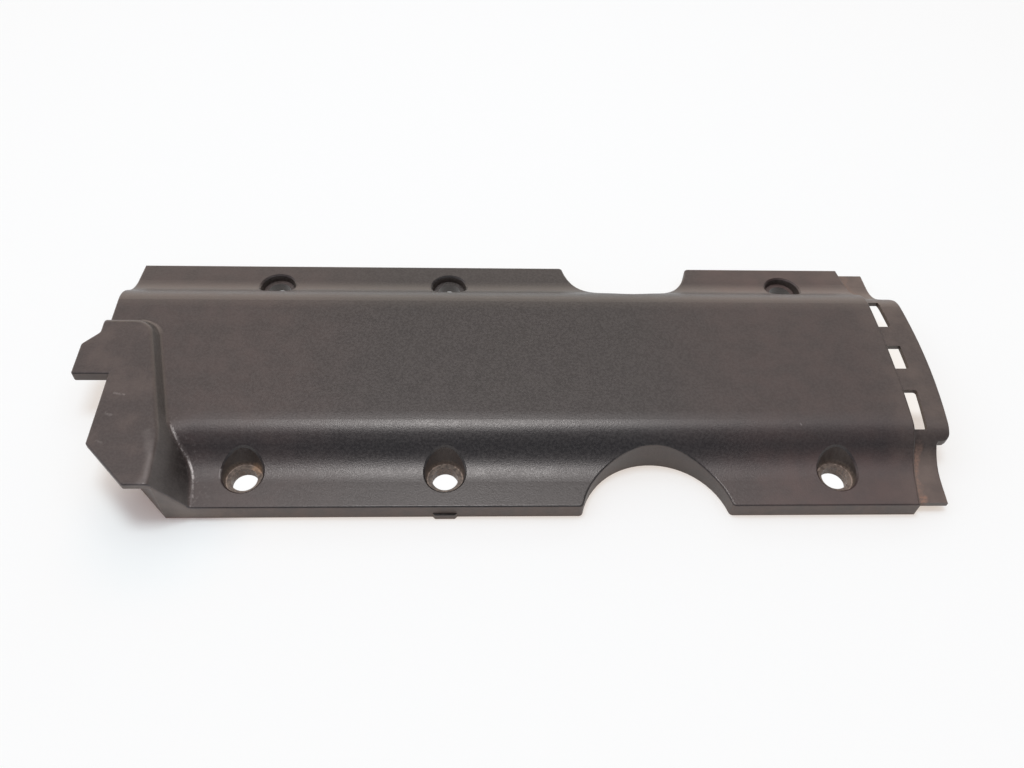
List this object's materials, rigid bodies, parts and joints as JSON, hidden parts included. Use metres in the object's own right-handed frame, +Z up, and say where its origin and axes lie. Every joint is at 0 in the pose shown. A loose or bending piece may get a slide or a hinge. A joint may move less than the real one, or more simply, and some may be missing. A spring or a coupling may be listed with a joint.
{
  "type": "engine cover",
  "caption": "Long moulded plastic cover for the top of an in-line engine, with screw cups along both flanges, round side cut-outs, a cable hood at one end and a slotted lip at the other.",
  "frame": {"origin": "middle of the four corner screw holes, on the plane that the screw bosses and skirts stand on", "axes": "+X along the cover from the cable hood to the slotted lip, +Y across it to the side whose flange runs to the hood end, +Z up out of the deck"},
  "size_m": [0.4143, 0.1546, 0.0272],
  "materials": {
    "dark_plastic": "fine moulded grain with a satin sheen, dusty and lightly scuffed"
  },
  "bodies": {
    "root": {"engine_cover": "dark_plastic"}
  },
  "joints": []
}
